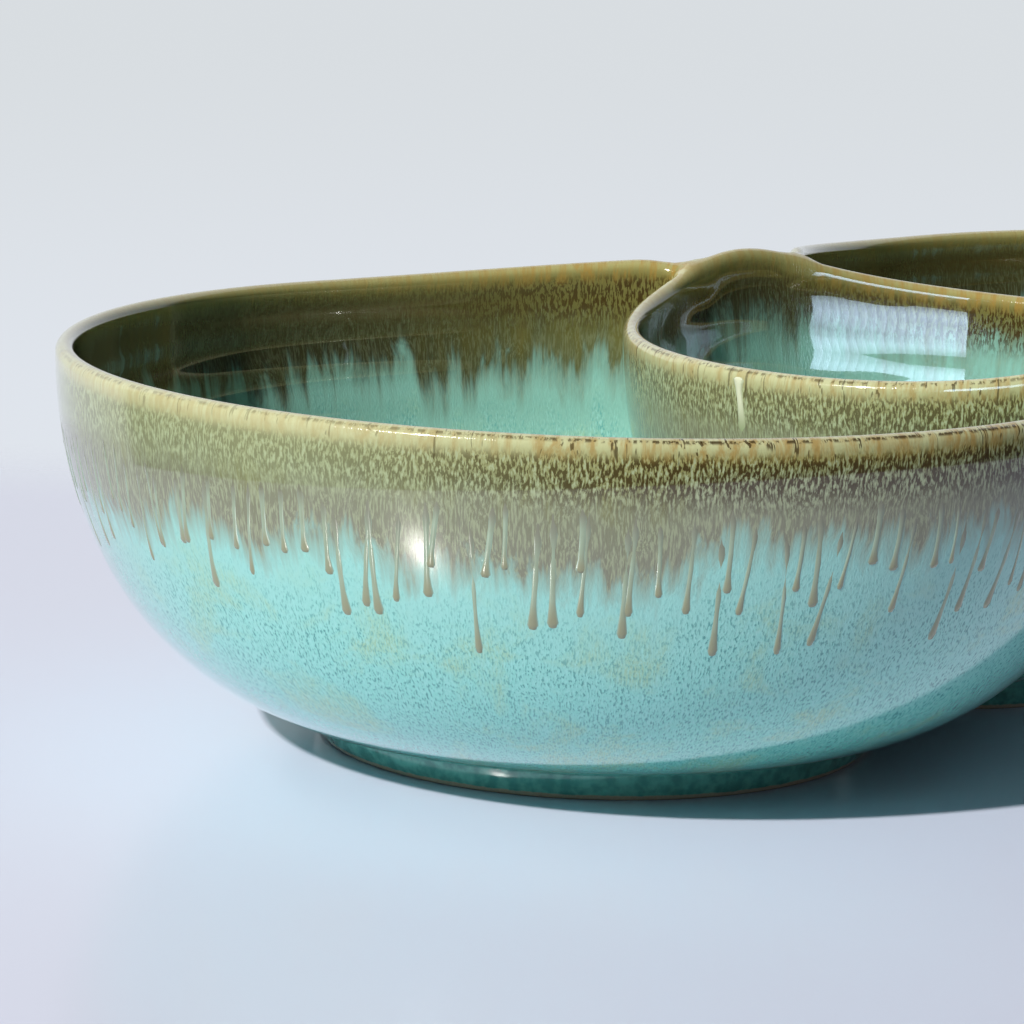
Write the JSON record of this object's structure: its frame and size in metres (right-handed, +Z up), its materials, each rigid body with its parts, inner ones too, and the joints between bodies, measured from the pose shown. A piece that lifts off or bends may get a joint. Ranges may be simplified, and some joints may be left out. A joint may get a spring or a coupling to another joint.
{
  "type": "divided serving bowl",
  "caption": "Hand-thrown glazed stoneware serving dish: large round bowls joined on either side of a smaller dip bowl that divides them.",
  "frame": {"origin": "on the table, below the middle of the dip bowl, which is the middle of the whole dish", "axes": "+X along the row of bowls from the left bowl to the right bowl, +Z up out of the bowls"},
  "size_m": [0.3416, 0.18, 0.0701],
  "materials": {
    "glazed_stoneware": "opaque glossy turquoise glaze with an olive brown band that runs below the rim, on stoneware",
    "foot_stoneware": "opaque glossy deep teal glaze down to a narrow band of bare tan clay at the table"
  },
  "bodies": {
    "root": {"left_bowl": "glazed_stoneware", "right_bowl": "glazed_stoneware", "dip_bowl": "glazed_stoneware", "left_foot_ring": "foot_stoneware", "right_foot_ring": "foot_stoneware", "dip_foot_ring": "foot_stoneware", "left_inner_seam": "glazed_stoneware", "right_inner_seam": "glazed_stoneware", "left_outer_seam": "glazed_stoneware", "right_outer_seam": "glazed_stoneware"}
  },
  "joints": []
}
